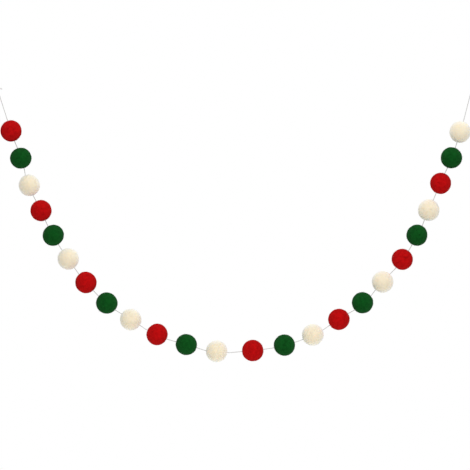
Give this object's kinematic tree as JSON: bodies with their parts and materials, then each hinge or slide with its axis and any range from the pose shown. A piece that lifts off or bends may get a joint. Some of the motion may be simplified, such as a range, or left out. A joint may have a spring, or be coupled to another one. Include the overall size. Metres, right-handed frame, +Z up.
{
  "type": "felt ball garland",
  "caption": "String of felted wool balls in red, green and cream, hung in a deep swag from a small knotted loop at each end.",
  "frame": {"origin": "the point inside the left hanging loop where the hook or nail bears, in the plane in which the garland hangs", "axes": "+X from the left end towards the right end, +Y towards the wall behind the garland, +Z up; the front faces -Y"},
  "size_m": [0.5794, 0.025, 0.3514],
  "materials": {
    "red_felt": "matt needle-felted wool, bright red, with a short fibre fuzz",
    "green_felt": "matt needle-felted wool, dark green, with a short fibre fuzz",
    "cream_felt": "matt needle-felted wool, undyed cream, with a short fibre fuzz",
    "cotton_string": "matt twisted cotton string, white"
  },
  "bodies": {
    "root": {"ball_01": "red_felt", "ball_02": "green_felt", "ball_03": "cream_felt", "ball_04": "red_felt", "ball_05": "green_felt", "ball_06": "cream_felt", "ball_07": "red_felt", "ball_08": "green_felt", "ball_09": "cream_felt", "ball_10": "red_felt", "ball_11": "green_felt", "ball_12": "cream_felt", "ball_13": "red_felt", "ball_14": "green_felt", "ball_15": "cream_felt", "ball_16": "red_felt", "ball_17": "green_felt", "ball_18": "cream_felt", "ball_19": "red_felt", "ball_20": "green_felt", "ball_21": "cream_felt", "ball_22": "red_felt", "ball_23": "green_felt", "ball_24": "cream_felt", "string": "cotton_string", "left_knot": "cotton_string", "left_loop": "cotton_string", "right_knot": "cotton_string", "right_loop": "cotton_string"}
  },
  "joints": []
}
